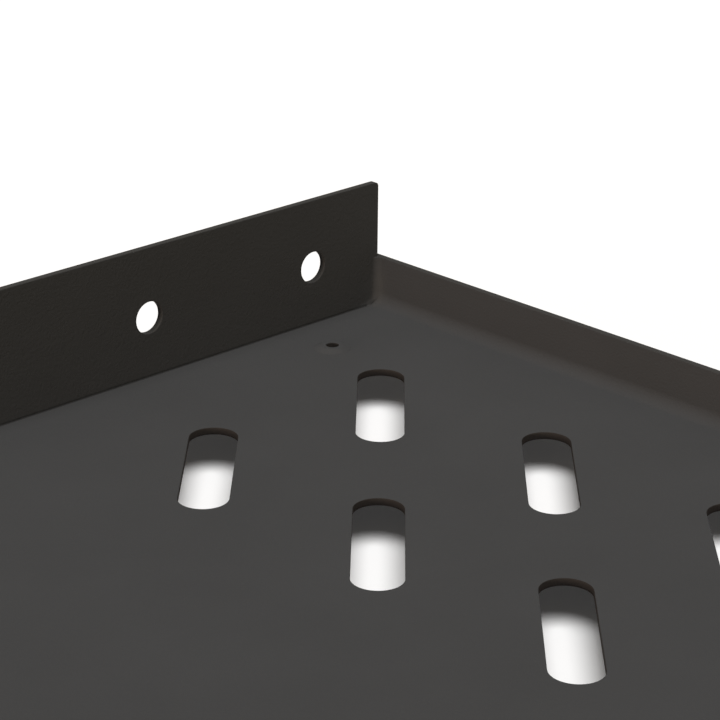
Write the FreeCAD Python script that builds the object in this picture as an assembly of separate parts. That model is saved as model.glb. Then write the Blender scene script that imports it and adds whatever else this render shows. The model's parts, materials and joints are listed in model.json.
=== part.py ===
"""Rack shelf for one unit of a 19-inch rack: one steel sheet, punched, folded and powder-coated.

X runs to the right, Y from the front to the rear and Z up, in millimetres. The origin is the middle
of the screw pattern on the rear faces of the two rack ears, where the shelf seats on the rack's posts.
"""
import FreeCAD
import Part
import math
import os

# The sheet, measured over its powder coat, and the inside radii of its folds.
SHEET = 1.6
SIDE_BEND = 0.3
LIP_BEND = 2.9
EAR_BEND = 0.8

# The 19-inch rack: its unit of height, the panel's play in it, the wide gap between the screw holes
# of two units, and the width over the ears.
UNIT_HEIGHT = 44.45
UNIT_PLAY = 0.79
UNIT_HOLE_GAP = 12.7
PANEL_WIDTH = 482.6

# The ears, out from the side walls, and their screw slots, in from the ears' ends.
EAR_WIDTH = 18.0
EAR_CORNER = 3.0
EAR_SLOT_INSET = 8.75
EAR_SLOT_LENGTH = 10.0
EAR_SLOT_WIDTH = 6.8

# The tray, from the ears' rear faces to the lip's outside. The apron drops below the base's underside,
# the lip's height is over the underside, and the side walls take the rest of the unit.
SHELF_DEPTH = 340.0
APRON_DROP = 11.46
LIP_HEIGHT = 13.44
WALL_CORNER = 1.0
WELD_RADIUS = 1.6

# The cuts that let the front corners fold, and the room between the apron and the ears in the flat sheet.
RELIEF = 2.5
APRON_GAP = 1.2
APRON_CORNER = 3.0

# Vent slots in two bands across the base, one near each end, with plain sheet between them. Each slot
# lies on the diagonal, and a row has as many as the base has room for.
SLOT_LENGTH = 41.9
SLOT_WIDTH = 10.5
SLOT_TURN = -45.0
SLOT_PITCH = 50.0
SLOT_ROWS = 2
SLOT_END_MARGIN = 44.9
SLOT_ROOM = 40.0

# Two bolt holes at the rear of each side wall, for a rear support.
SIDE_HOLE = 7.6
SIDE_HOLE_PITCH = 50.0
SIDE_HOLE_MARGIN = 21.3
SIDE_HOLE_HEIGHT = 15.75

# A low boss near each corner of the base, pressed up from below, with a screw hole in its flat top.
BOSS_HOLE = 3.0
BOSS_TOP = 5.0
BOSS_FOOT = 8.8
BOSS_HEIGHT = 0.77
BOSS_SIDE_MARGIN = 14.75
BOSS_END_MARGIN = 29.0

# Places that follow from the sizes above.
panel_height = UNIT_HEIGHT - UNIT_PLAY
panel_bottom = -panel_height / 2
panel_side = PANEL_WIDTH / 2
side_outer = panel_side - EAR_WIDTH
side_inner = side_outer - SHEET
side_top = panel_height / 2
base_bottom = panel_bottom + APRON_DROP
base_top = base_bottom + SHEET
lip_inner = SHELF_DEPTH - SHEET
lip_top = base_bottom + LIP_HEIGHT
lip_fold_start = lip_inner - LIP_BEND
front_face = -SHEET
base_front = LIP_BEND
apron_end = side_inner - (base_top - panel_bottom) - APRON_GAP
relief_top = base_top + SIDE_BEND + RELIEF
relief_rear = base_front + RELIEF


def at(x, y, z):
    return FreeCAD.Vector(x, y, z)


def rounded_path(points, radius):
    """Edges along the points, with each right-angled corner rounded to the radius."""
    edges = []
    start = points[0]
    for before, corner, after in zip(points, points[1:], points[2:]):
        arriving = (corner - before).normalize()
        leaving = (after - corner).normalize()
        arc_start = corner - arriving * radius
        arc_end = corner + leaving * radius
        arc_middle = corner + (leaving - arriving) * radius * (1 - math.sqrt(0.5))
        edges.append(Part.makeLine(start, arc_start))
        edges.append(Part.Arc(arc_start, arc_middle, arc_end).toShape())
        start = arc_end
    edges.append(Part.makeLine(start, points[-1]))
    return edges


def fold_section(inside, outside, bend):
    """Section of a folded strip: concentric folds on its two faces, and a square cut at each end."""
    edges = rounded_path(inside, bend) + rounded_path(outside, bend + SHEET)
    edges.append(Part.makeLine(inside[0], outside[0]))
    edges.append(Part.makeLine(inside[-1], outside[-1]))
    return Part.Face(Part.Wire(Part.__sortEdges__(edges)))


def block(low, high):
    size = high - low
    return Part.makeBox(size.x, size.y, size.z, low)


def round_edges(solid, radius, chosen):
    """Fillet the straight edges whose middle point is one of the chosen points."""
    edges = [edge for edge in solid.Edges
             if any(edge.CenterOfMass.distanceToPoint(point) < SHEET / 10 for point in chosen)]
    return solid.makeFillet(radius, edges)


def obround(length, width, depth):
    """A cutter for a slot along X, centred on the origin and running along Z by its depth."""
    straight = (length - width) / 2
    radius = width / 2
    low = -depth / 2
    edges = [
        Part.makeLine(at(-straight, radius, low), at(straight, radius, low)),
        Part.Arc(at(straight, radius, low), at(straight + radius, 0, low), at(straight, -radius, low)).toShape(),
        Part.makeLine(at(straight, -radius, low), at(-straight, -radius, low)),
        Part.Arc(at(-straight, -radius, low), at(-straight - radius, 0, low), at(-straight, radius, low)).toShape(),
    ]
    return Part.Face(Part.Wire(edges)).extrude(at(0, 0, depth))


def tray():
    """The base and its two side walls, a channel that runs from the front to the lip's inner face."""
    inside = [at(-side_inner, base_front, side_top), at(-side_inner, base_front, base_top),
              at(side_inner, base_front, base_top), at(side_inner, base_front, side_top)]
    outside = [at(-side_outer, base_front, side_top), at(-side_outer, base_front, base_bottom),
               at(side_outer, base_front, base_bottom), at(side_outer, base_front, side_top)]
    channel = fold_section(inside, outside, SIDE_BEND).extrude(at(0, lip_inner - base_front, 0))
    wall_middle = (side_inner + side_outer) / 2
    channel = round_edges(channel, WALL_CORNER, [at(side * wall_middle, lip_inner, side_top) for side in (-1, 1)])
    # Seen from the side, the walls' rear ends follow the lip's fold below.
    side_view = block(at(-side_outer, base_front, base_bottom), at(side_outer, SHELF_DEPTH, side_top))
    side_view = round_edges(side_view, LIP_BEND + SHEET, [at(0, SHELF_DEPTH, base_bottom)])
    return channel.common(side_view)


def rear_lip():
    """The rear edge, folded up across the whole width, so that the side walls' ends stand against it."""
    flat_start = lip_fold_start - LIP_BEND
    inside = [at(-side_outer, flat_start, base_top), at(-side_outer, lip_inner, base_top),
              at(-side_outer, lip_inner, lip_top)]
    outside = [at(-side_outer, flat_start, base_bottom), at(-side_outer, SHELF_DEPTH, base_bottom),
               at(-side_outer, SHELF_DEPTH, lip_top)]
    lip = fold_section(inside, outside, LIP_BEND).extrude(at(2 * side_outer, 0, 0))
    # Seen from the rear, its lower corners follow the side walls' folds.
    rear_view = block(at(-side_outer, flat_start, base_bottom), at(side_outer, SHELF_DEPTH, lip_top))
    middle = (flat_start + SHELF_DEPTH) / 2
    corners = [at(side * side_outer, middle, base_bottom) for side in (-1, 1)]
    return lip.common(round_edges(rear_view, SIDE_BEND + SHEET, corners))


def front_apron():
    """The front edge, folded down and cut short so that the ears clear it in the flat sheet."""
    inside = [at(-apron_end, base_front + LIP_BEND, base_bottom), at(-apron_end, 0, base_bottom),
              at(-apron_end, 0, panel_bottom)]
    outside = [at(-apron_end, base_front + LIP_BEND, base_top), at(-apron_end, front_face, base_top),
               at(-apron_end, front_face, panel_bottom)]
    apron = fold_section(inside, outside, LIP_BEND).extrude(at(2 * apron_end, 0, 0))
    middle = front_face / 2
    corners = [at(-apron_end, middle, panel_bottom), at(apron_end, middle, panel_bottom)]
    return round_edges(apron, APRON_CORNER, corners)


def rack_ear(side):
    """The front end of one side wall, folded outwards to the full height of the rack unit."""
    inside = [at(side * side_outer, relief_rear, panel_bottom), at(side * side_outer, 0, panel_bottom),
              at(side * panel_side, 0, panel_bottom)]
    outside = [at(side * side_inner, relief_rear, panel_bottom), at(side * side_inner, front_face, panel_bottom),
               at(side * panel_side, front_face, panel_bottom)]
    ear = fold_section(inside, outside, EAR_BEND).extrude(at(0, 0, panel_height))
    middle = front_face / 2
    corners = [at(side * panel_side, middle, panel_bottom), at(side * panel_side, middle, side_top)]
    return round_edges(ear, EAR_CORNER, corners)


def corner_relief(side):
    """The notch at one front corner, where the base, the side wall and the ear part company."""
    inner = side_inner - SIDE_BEND - RELIEF
    outer = side_outer + EAR_BEND
    low = at(min(side * inner, side * outer), front_face - SHEET, panel_bottom - SHEET)
    high = at(max(side * inner, side * outer), relief_rear, relief_top)
    return block(low, high)


def corner_weld(side):
    """The bead that closes one rear corner, hollow on its inner face."""
    corner = at(side * side_inner, lip_inner, base_top)
    along_lip = at(-side * WELD_RADIUS, 0, 0)
    along_wall = at(0, -WELD_RADIUS, 0)
    hollow = corner + (along_lip + along_wall) * (1 - math.sqrt(0.5))
    bead = [Part.makeLine(corner, corner + along_lip),
            Part.Arc(corner + along_lip, hollow, corner + along_wall).toShape(),
            Part.makeLine(corner + along_wall, corner)]
    return Part.Face(Part.Wire(bead)).extrude(at(0, 0, lip_top - base_top))


def vent_slots():
    slot = obround(SLOT_LENGTH, SLOT_WIDTH, 3 * SHEET)
    slot.rotate(at(0, 0, 0), at(0, 0, 1), SLOT_TURN)
    columns = int((2 * side_inner - 2 * SLOT_ROOM) / SLOT_PITCH) + 1
    slots = []
    for column in range(columns):
        x = (column - (columns - 1) / 2) * SLOT_PITCH
        for row in range(SLOT_ROWS):
            inset = SLOT_END_MARGIN + row * SLOT_PITCH
            for y in (inset, lip_inner - inset):
                slots.append(slot.translated(at(x, y, (base_top + base_bottom) / 2)))
    return slots


def side_holes():
    z = base_bottom + SIDE_HOLE_HEIGHT
    holes = []
    for step in range(2):
        y = lip_inner - SIDE_HOLE_MARGIN - step * SIDE_HOLE_PITCH
        holes.append(Part.makeCylinder(SIDE_HOLE / 2, 2 * side_outer, at(-side_outer, y, z), at(1, 0, 0)))
    return holes


def ear_slots():
    slot = obround(EAR_SLOT_LENGTH, EAR_SLOT_WIDTH, 3 * SHEET)
    slot.rotate(at(0, 0, 0), at(1, 0, 0), 90)
    x = panel_side - EAR_SLOT_INSET
    z = (UNIT_HEIGHT - UNIT_HOLE_GAP) / 2
    return [slot.translated(at(side * x, front_face / 2, end * z)) for side in (-1, 1) for end in (-1, 1)]


def pressed_boss():
    """One boss on the Z axis: the sheet, as thick as elsewhere, pressed up into a low cone with a flat top."""
    foot = BOSS_FOOT / 2
    top = BOSS_TOP / 2
    hole = BOSS_HOLE / 2
    outline = [
        at(foot, 0, base_top), at(top, 0, base_top + BOSS_HEIGHT), at(hole, 0, base_top + BOSS_HEIGHT),
        at(hole, 0, base_bottom + BOSS_HEIGHT), at(top, 0, base_bottom + BOSS_HEIGHT), at(foot, 0, base_bottom),
        at(foot, 0, base_top),
    ]
    return Part.Face(Part.makePolygon(outline)).revolve(at(0, 0, 0), at(0, 0, 1), 360)


def boss_places():
    x = side_inner - BOSS_SIDE_MARGIN
    rear = lip_inner - BOSS_END_MARGIN
    front = BOSS_END_MARGIN
    return [at(side * x, y, 0) for side in (-1, 1) for y in (front, rear)]


def shelf():
    sheet = tray().fuse([rear_lip(), front_apron(), rack_ear(-1), rack_ear(1),
                         corner_weld(-1), corner_weld(1)])
    boss_room = Part.makeCylinder(BOSS_FOOT / 2, 3 * SHEET, at(0, 0, base_bottom - SHEET))
    cuts = [corner_relief(-1), corner_relief(1)] + vent_slots() + side_holes() + ear_slots()
    cuts += [boss_room.translated(place) for place in boss_places()]
    sheet = sheet.cut(cuts)
    boss = pressed_boss()
    sheet = sheet.fuse([boss.translated(place) for place in boss_places()])
    return sheet.removeSplitter()


os.makedirs("parts", exist_ok=True)
shape = shelf()
solids = shape.Solids
print("solids", len(solids), "valid", shape.isValid(), "volume", round(shape.Volume), "box", shape.BoundBox)
solids[0].exportStep("parts/shelf.step")
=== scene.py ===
"""Rack shelf for one unit of a 19-inch rack, dressed in its powder coat and set under studio light."""
import bpy
import json
import math
from mathutils import Matrix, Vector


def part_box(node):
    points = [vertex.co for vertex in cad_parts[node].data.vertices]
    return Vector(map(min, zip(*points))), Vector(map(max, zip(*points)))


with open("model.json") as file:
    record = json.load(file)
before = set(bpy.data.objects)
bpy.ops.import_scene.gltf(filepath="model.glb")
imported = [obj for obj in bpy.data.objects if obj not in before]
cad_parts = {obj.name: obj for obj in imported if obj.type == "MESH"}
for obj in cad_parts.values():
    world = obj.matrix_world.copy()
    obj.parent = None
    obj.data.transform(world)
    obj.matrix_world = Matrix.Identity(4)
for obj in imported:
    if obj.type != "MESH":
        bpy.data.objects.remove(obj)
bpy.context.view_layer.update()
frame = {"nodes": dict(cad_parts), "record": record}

# The shelf is one 1.5 mm steel sheet, 1.6 mm over its coat: punched, folded into base, walls, lip, apron and
# ears, and welded at the two rear corners. Then it was sprayed with black polyester powder and baked, which
# softens every edge.
MM = 0.001
SHEET = 1.6 * MM
shelf = frame["nodes"]["shelf"]
mounts = {mount["name"]: mount for mount in frame["record"]["mounts"]}
base_top = mounts["shelf_top"]["pos_m"][2]
wall_outer = -mounts["rear_support_left"]["pos_m"][0]
low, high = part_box("shelf")
base_bottom = base_top - SHEET
wall_inner = wall_outer - SHEET
lip_inner = high.y - SHEET

# Baked powder coat: matt black, with a fine even grain that breaks up the sheen and a soft line along each
# edge, where the coat is rounded. A dark line of painted shade lies in each sharp fold.
COAT_DARK = "#404040"
COAT_LIGHT = "#424242"
COAT_CLOUD = 28 * MM
COAT_CLOUD_DETAIL = 3.0
COAT_CLOUD_RANGE = (0.3, 0.7)
COAT_GRAIN = 0.6 * MM
COAT_GRAIN_DETAIL = 2.0
COAT_GRAIN_ROUGHNESS = 0.55
COAT_GRAIN_HEIGHT = 0.085 * MM
COAT_EDGE = 0.3 * MM
COAT_ROUGHNESS = (0.72, 0.84)
COAT_IOR = 1.5
COAT_SPECULAR = 0.02


def linear(colour):
    """The linear RGBA of an sRGB colour written as hex."""
    shares = [int(colour[start:start + 2], 16) / 255 for start in (1, 3, 5)]
    return tuple(c / 12.92 if c <= 0.04045 else ((c + 0.055) / 1.055) ** 2.4 for c in shares) + (1.0,)


def add_node(tree, kind, settings, links):
    """Add a node, set its properties and input values, and link its inputs to outputs.

    A link names an output, or a node, whose first output it then takes.
    """
    node = tree.nodes.new(kind)
    for name, value in settings.items():
        if isinstance(name, str) and hasattr(node, name):
            setattr(node, name, value)
        else:
            node.inputs[name].default_value = value
    for name, source in links.items():
        output = source.outputs[0] if isinstance(source, bpy.types.Node) else source
        tree.links.new(output, node.inputs[name])
    return node


powder_coat = bpy.data.materials.new("black_powder_coat")
powder_coat.use_nodes = True
coat = powder_coat.node_tree
coat.nodes.clear()
place = add_node(coat, "ShaderNodeTexCoord", {}, {}).outputs["Object"]
grain = add_node(coat, "ShaderNodeTexNoise",
                 {"Scale": 1 / COAT_GRAIN, "Detail": COAT_GRAIN_DETAIL, "Roughness": COAT_GRAIN_ROUGHNESS},
                 {"Vector": place}).outputs["Fac"]
cloud = add_node(coat, "ShaderNodeTexNoise", {"Scale": 1 / COAT_CLOUD, "Detail": COAT_CLOUD_DETAIL},
                 {"Vector": place}).outputs["Fac"]
cloud_share = add_node(coat, "ShaderNodeMapRange",
                       {"From Min": COAT_CLOUD_RANGE[0], "From Max": COAT_CLOUD_RANGE[1]}, {"Value": cloud})
tint = add_node(coat, "ShaderNodeMixRGB", {"Color1": linear(COAT_DARK), "Color2": linear(COAT_LIGHT)},
                {"Fac": cloud_share})

# Every cut edge is painted darker than the faces, as painted shade: brown-black in the base and darkest at
# the bottom of the slot walls, and greyer on the edges of the walls and the lip.
CUT_SHADE_LOW = "#2e2a28"
CUT_SHADE_HIGH = "#393532"
CUT_SHADE_UPPER = "#3d3c3a"
CUT_STEEPNESS = 0.5
CUT_ROOM = 9.7 * MM
BORE_RISE = 0.6 * MM
FOLD_ROOM = 3.5 * MM


def cut_faces(tree, depth, facing, start, end):
    """1 on the faces cut across a sheet: between its two broad faces, and square to them."""
    within = add_node(tree, "ShaderNodeMath",
                      {"operation": "COMPARE", 1: (start + end) / 2, 2: (end - start) / 2}, {0: depth})
    square = add_node(tree, "ShaderNodeMath", {"operation": "COMPARE", 1: 0.0, 2: CUT_STEEPNESS}, {0: facing})
    return add_node(tree, "ShaderNodeMath", {"operation": "MULTIPLY"}, {0: within, 1: square})


spot = add_node(coat, "ShaderNodeSeparateXYZ", {}, {"Vector": place}).outputs
normal = add_node(coat, "ShaderNodeNewGeometry", {}, {}).outputs["True Normal"]
facing = add_node(coat, "ShaderNodeSeparateXYZ", {}, {"Vector": normal}).outputs
from_middle = add_node(coat, "ShaderNodeMath", {"operation": "ABSOLUTE"}, {0: spot["X"]})
above_folds = add_node(coat, "ShaderNodeMath", {"operation": "GREATER_THAN", 1: base_top + FOLD_ROOM},
                       {0: spot["Z"]})
below_folds = add_node(coat, "ShaderNodeMath", {"operation": "LESS_THAN", 1: base_bottom - FOLD_ROOM},
                       {0: spot["Z"]})
behind_ears = add_node(coat, "ShaderNodeMath", {"operation": "GREATER_THAN", 1: FOLD_ROOM}, {0: spot["Y"]})
outside_walls = add_node(coat, "ShaderNodeMath", {"operation": "GREATER_THAN", 1: wall_outer + FOLD_ROOM},
                         {0: from_middle})
between_walls = add_node(coat, "ShaderNodeMath", {"operation": "LESS_THAN", 1: wall_inner - CUT_ROOM},
                         {0: from_middle})
base_cuts = cut_faces(coat, spot["Z"], facing["Z"], base_bottom, base_top + BORE_RISE)
wall_cuts = cut_faces(coat, from_middle, facing["X"], wall_inner, wall_outer)
lip_cuts = cut_faces(coat, spot["Y"], facing["Y"], lip_inner, high.y)
front_cuts = cut_faces(coat, spot["Y"], facing["Y"], low.y, low.y + SHEET)
slot_edges = add_node(coat, "ShaderNodeMath", {"operation": "MULTIPLY"}, {0: base_cuts, 1: between_walls})
wall_edges = add_node(coat, "ShaderNodeMath", {"operation": "MULTIPLY"}, {0: wall_cuts, 1: behind_ears})
rim_edges = add_node(coat, "ShaderNodeMath", {"operation": "MAXIMUM"}, {0: wall_edges, 1: lip_cuts})
upper_edges = add_node(coat, "ShaderNodeMath", {"operation": "MULTIPLY"}, {0: rim_edges, 1: above_folds})
front_reach = add_node(coat, "ShaderNodeMath", {"operation": "MAXIMUM"}, {0: outside_walls, 1: below_folds})
front_edges = add_node(coat, "ShaderNodeMath", {"operation": "MULTIPLY"}, {0: front_cuts, 1: front_reach})
tray_edges = add_node(coat, "ShaderNodeMath", {"operation": "MAXIMUM"}, {0: slot_edges, 1: upper_edges})
cut_edges = add_node(coat, "ShaderNodeMath", {"operation": "MAXIMUM"}, {0: tray_edges, 1: front_edges})
# Painted shade on the cut edges: darker towards the bottom of the base, greyer on the upper edges.
cut_shade_height = add_node(coat, "ShaderNodeMapRange", {"From Min": base_bottom, "From Max": base_top},
                      {"Value": spot["Z"]})
cut_painted_shade = add_node(coat, "ShaderNodeMixRGB", {"Color1": linear(CUT_SHADE_LOW), "Color2": linear(CUT_SHADE_HIGH)},
                    {"Fac": cut_shade_height})
edge_painted_shade = add_node(coat, "ShaderNodeMixRGB", {"Color2": linear(CUT_SHADE_UPPER)},
                     {"Fac": above_folds, "Color1": cut_painted_shade})
colour = add_node(coat, "ShaderNodeMixRGB", {}, {"Fac": cut_edges, "Color1": tint, "Color2": edge_painted_shade})

# The powder builds up on the two welded beads and rounds the corner, most at its foot.
# A painted highlight makes the bead lighter than the coat.
WELD_FILL = 4.0 * MM
WELD_ROOM = 8.0 * MM
WELD_RISE = 11.84 * MM
BEAD_HIGHLIGHT = "#4c4b49"
BEAD_FALL = 3.0
weld_top = base_top + WELD_RISE
near_lip = add_node(coat, "ShaderNodeMapRange", {"From Min": lip_inner - WELD_ROOM, "From Max": lip_inner},
                    {"Value": spot["Y"]})
near_wall = add_node(coat, "ShaderNodeMapRange", {"From Min": wall_inner - WELD_ROOM, "From Max": wall_inner},
                     {"Value": from_middle})
near_base = add_node(coat, "ShaderNodeMapRange", {"From Min": weld_top, "From Max": base_top},
                     {"Value": spot["Z"]})
below_top = add_node(coat, "ShaderNodeMapRange", {"From Min": weld_top, "From Max": base_top + WELD_RISE / 2},
                     {"Value": spot["Z"]})
before_lip = add_node(coat, "ShaderNodeMath", {"operation": "LESS_THAN", 1: lip_inner + SHEET / 2},
                      {0: spot["Y"]})
within_walls = add_node(coat, "ShaderNodeMath", {"operation": "LESS_THAN", 1: wall_outer - SHEET / 2},
                        {0: from_middle})
inside = add_node(coat, "ShaderNodeMath", {"operation": "MULTIPLY"}, {0: before_lip, 1: within_walls})
near_corner = add_node(coat, "ShaderNodeMath", {"operation": "MULTIPLY"}, {0: near_lip, 1: near_wall})
near_bead = add_node(coat, "ShaderNodeMath", {"operation": "MULTIPLY"}, {0: near_corner, 1: inside})
bead_highlight_core = add_node(coat, "ShaderNodeMath", {"operation": "POWER", 1: BEAD_FALL}, {0: near_bead})
on_bead_highlight = add_node(coat, "ShaderNodeMath", {"operation": "MULTIPLY"}, {0: bead_highlight_core, 1: below_top})
bead_foot = add_node(coat, "ShaderNodeMath", {"operation": "MULTIPLY"}, {0: near_bead, 1: near_base})
coat_round = add_node(coat, "ShaderNodeMath", {"operation": "MULTIPLY_ADD", 1: WELD_FILL, 2: COAT_EDGE},
                      {0: bead_foot})
# Painted highlight: the bead's colour is lighter than the coat.
bead_highlighted = add_node(coat, "ShaderNodeMixRGB", {"Color2": linear(BEAD_HIGHLIGHT)},
                  {"Fac": on_bead_highlight, "Color1": colour})

# A painted shade darkens the wall's side of its sharp fold, by the occlusion there.
# The flat base and the lip's wide fold get no painted shade.
CORNER_SAMPLES = 8
CREASE_REACH = 0.8 * MM
CREASE_DEPTH = 2.4
CREASE_FLAT = 0.05
crease = add_node(coat, "ShaderNodeAmbientOcclusion",
                  {"samples": CORNER_SAMPLES, "only_local": True, "Distance": CREASE_REACH},
                  {}).outputs["AO"]
flat = add_node(coat, "ShaderNodeMath", {"operation": "COMPARE", 1: 1.0, 2: CREASE_FLAT}, {0: facing["Z"]})
at_lip = add_node(coat, "ShaderNodeMath", {"operation": "GREATER_THAN", 1: lip_inner - FOLD_ROOM},
                  {0: spot["Y"]})
free_of_crease_shade = add_node(coat, "ShaderNodeMath", {"operation": "MAXIMUM"}, {0: flat, 1: at_lip})
crease_light_share = add_node(coat, "ShaderNodeMath", {"operation": "MAXIMUM"}, {0: crease, 1: free_of_crease_shade})
crease_shade = add_node(coat, "ShaderNodeMath", {"operation": "POWER", 1: CREASE_DEPTH}, {0: crease_light_share})
# Painted shade: the coat's colour is darkened in the sharp folds by the occlusion.
crease_darkened = add_node(coat, "ShaderNodeMixRGB", {"blend_type": "MULTIPLY", "Fac": 1.0},
                   {"Color1": bead_highlighted, "Color2": crease_shade})
gloss = add_node(coat, "ShaderNodeMapRange", {"To Min": COAT_ROUGHNESS[0], "To Max": COAT_ROUGHNESS[1]},
                 {"Value": grain})
rounded = add_node(coat, "ShaderNodeBevel", {"samples": CORNER_SAMPLES}, {"Radius": coat_round})
grain_relief = add_node(coat, "ShaderNodeBump", {"Strength": 1.0, "Distance": COAT_GRAIN_HEIGHT},
                        {"Height": grain, "Normal": rounded})
coat_shader = add_node(coat, "ShaderNodeBsdfPrincipled",
                       {"IOR": COAT_IOR, "Specular IOR Level": COAT_SPECULAR},
                       {"Base Color": crease_darkened, "Roughness": gloss, "Normal": grain_relief})
add_node(coat, "ShaderNodeOutputMaterial", {}, {"Surface": coat_shader})
shelf.data.materials.clear()
shelf.data.materials.append(powder_coat)

# Studio floor: a wide plain sheet of white acrylic, over a lamp that lights the shelf's underside. It touches
# the apron's lower edge and lies under the rear slots at the depth they show.
FLOOR_SIZE = 40.0
FLOOR_COLOUR = "#ffffff"
FLOOR_BOUNCE = "#8a8a8a"
FLOOR_BELOW_BASE = 8.0 * MM
REAR_SLOT_FROM_LIP = 44.9 * MM
rear_slot_y = lip_inner - REAR_SLOT_FROM_LIP
floor_rise = base_bottom - FLOOR_BELOW_BASE - low.z
floor_slope = math.atan2(floor_rise, rear_slot_y)
bpy.ops.object.select_all(action="DESELECT")
bpy.ops.mesh.primitive_plane_add(size=FLOOR_SIZE, location=(0, 0, low.z), rotation=(floor_slope, 0, 0))
floor = bpy.context.object
floor.name = "floor"
bpy.ops.object.transform_apply(location=True, rotation=True, scale=True)


def seen_rays(tree):
    """1 for the rays that show a backdrop to the eye, straight, mirrored or through glass, otherwise 0."""
    rays = add_node(tree, "ShaderNodeLightPath", {}, {}).outputs
    straight_or_mirrored = add_node(tree, "ShaderNodeMath", {"operation": "MAXIMUM"},
                                    {0: rays["Is Camera Ray"], 1: rays["Is Glossy Ray"]})
    return add_node(tree, "ShaderNodeMath", {"operation": "MAXIMUM"},
                    {0: straight_or_mirrored, 1: rays["Is Transmission Ray"]})


# White acrylic, matt: white to the eye, and throwing little light back up on the shelf. It lets the light of
# the lamp below it through, and seen from below it is clear, so that the underside can be looked at.
acrylic_material = bpy.data.materials.new("white_acrylic")
acrylic_material.use_nodes = True
acrylic = acrylic_material.node_tree
acrylic.nodes.clear()
pale = add_node(acrylic, "ShaderNodeMixRGB", {"Color1": linear(FLOOR_BOUNCE), "Color2": linear(FLOOR_COLOUR)},
                {"Fac": seen_rays(acrylic)})
matt = add_node(acrylic, "ShaderNodeBsdfDiffuse", {}, {"Color": pale})
clear = add_node(acrylic, "ShaderNodeBsdfTransparent", {}, {})
from_below = add_node(acrylic, "ShaderNodeNewGeometry", {}, {}).outputs["Backfacing"]
to_lamps = add_node(acrylic, "ShaderNodeLightPath", {}, {}).outputs["Is Shadow Ray"]
let_through = add_node(acrylic, "ShaderNodeMath", {"operation": "MAXIMUM"}, {0: from_below, 1: to_lamps})
one_sided = add_node(acrylic, "ShaderNodeMixShader", {}, {0: let_through, 1: matt, 2: clear})
add_node(acrylic, "ShaderNodeOutputMaterial", {}, {"Surface": one_sided})
floor.data.materials.append(acrylic_material)

# Studio light: a broad soft lamp above, a little to the right, a warm reflector low in front of the shelf,
# a faint yellow one on its right, a lamp below the acrylic, and faint warm light all round.
LAMP_WHITE = "#ffffff"
TOP_STRENGTH = 0.91
TOP_SPREAD = 46.0
TOP_ELEVATION = 75.0
TOP_AZIMUTH = 62.0
FRONT_STRENGTH = 0.578
FRONT_COLOUR = "#ffeddf"
FRONT_SPREAD = 12.0
FRONT_ELEVATION = 4.0
FRONT_AZIMUTH = 4.0
RIGHT_STRENGTH = 0.075
RIGHT_COLOUR = "#ffda5d"
RIGHT_SPREAD = 12.0
RIGHT_ELEVATION = 4.0
RIGHT_AZIMUTH = 90.0
TABLE_STRENGTH = 0.65
TABLE_SPREAD = 30.0
TABLE_ELEVATION = -90.0
TABLE_AZIMUTH = 0.0
ROOM_STRENGTH = 0.16
ROOM_COLOUR = "#fff0e2"
BACKDROP_STRENGTH = 1.0
BACKDROP_COLOUR = "#ffffff"


def soft_lamp(name, strength, spread, colour, azimuth, elevation):
    """A distant soft lamp. At strength 1, a surface that faces it shows its colour as written."""
    data = bpy.data.lights.new(name, "SUN")
    data.energy = strength * math.pi
    data.angle = math.radians(spread)
    data.color = linear(colour)[:3]
    lamp = bpy.data.objects.new(name, data)
    lamp.rotation_euler = (math.radians(90 - elevation), 0, math.radians(azimuth))
    bpy.context.scene.collection.objects.link(lamp)


soft_lamp("top_lamp", TOP_STRENGTH, TOP_SPREAD, LAMP_WHITE, TOP_AZIMUTH, TOP_ELEVATION)
soft_lamp("front_reflector", FRONT_STRENGTH, FRONT_SPREAD, FRONT_COLOUR, FRONT_AZIMUTH, FRONT_ELEVATION)
soft_lamp("right_reflector", RIGHT_STRENGTH, RIGHT_SPREAD, RIGHT_COLOUR, RIGHT_AZIMUTH, RIGHT_ELEVATION)
soft_lamp("table_lamp", TABLE_STRENGTH, TABLE_SPREAD, LAMP_WHITE, TABLE_AZIMUTH, TABLE_ELEVATION)

world = bpy.data.worlds.new("studio")
world.use_nodes = True
bpy.context.scene.world = world
room = world.node_tree
room.nodes.clear()
even_light = add_node(room, "ShaderNodeBackground",
                      {"Color": linear(ROOM_COLOUR), "Strength": ROOM_STRENGTH}, {})
white = add_node(room, "ShaderNodeBackground",
                 {"Color": linear(BACKDROP_COLOUR), "Strength": BACKDROP_STRENGTH}, {})
backdrop = add_node(room, "ShaderNodeMixShader", {}, {0: seen_rays(room), 1: even_light, 2: white})
add_node(room, "ShaderNodeOutputWorld", {}, {"Surface": backdrop})
bpy.context.scene.view_settings.view_transform = "Standard"

# Camera: a long lens in front of the shelf's right half, looking down at its left rear corner. Its place is
# given from the left wall's inner face, the lip's inner face and the top of the base.
CAMERA_FROM_WALL = 424.174 * MM
CAMERA_FROM_LIP = 421.453 * MM
CAMERA_ABOVE_BASE = 219.145 * MM
CAMERA_AZIMUTH = 45.563
CAMERA_ELEVATION = 21.383
CAMERA_ROLL = 0.581
CAMERA_LENS = 131.395
CAMERA_SENSOR = 36.0
camera_data = bpy.data.cameras.new("camera")
camera_data.lens = CAMERA_LENS
camera_data.sensor_width = CAMERA_SENSOR
camera = bpy.data.objects.new("camera", camera_data)
camera.location = (CAMERA_FROM_WALL - wall_inner, lip_inner - CAMERA_FROM_LIP, base_top + CAMERA_ABOVE_BASE)
turned = Matrix.Rotation(math.radians(CAMERA_AZIMUTH), 3, "Z")
tilted = Matrix.Rotation(math.radians(90 - CAMERA_ELEVATION), 3, "X")
rolled = Matrix.Rotation(math.radians(CAMERA_ROLL), 3, "Z")
camera.rotation_euler = (turned @ tilted @ rolled).to_euler()
bpy.context.scene.collection.objects.link(camera)
bpy.context.scene.camera = camera
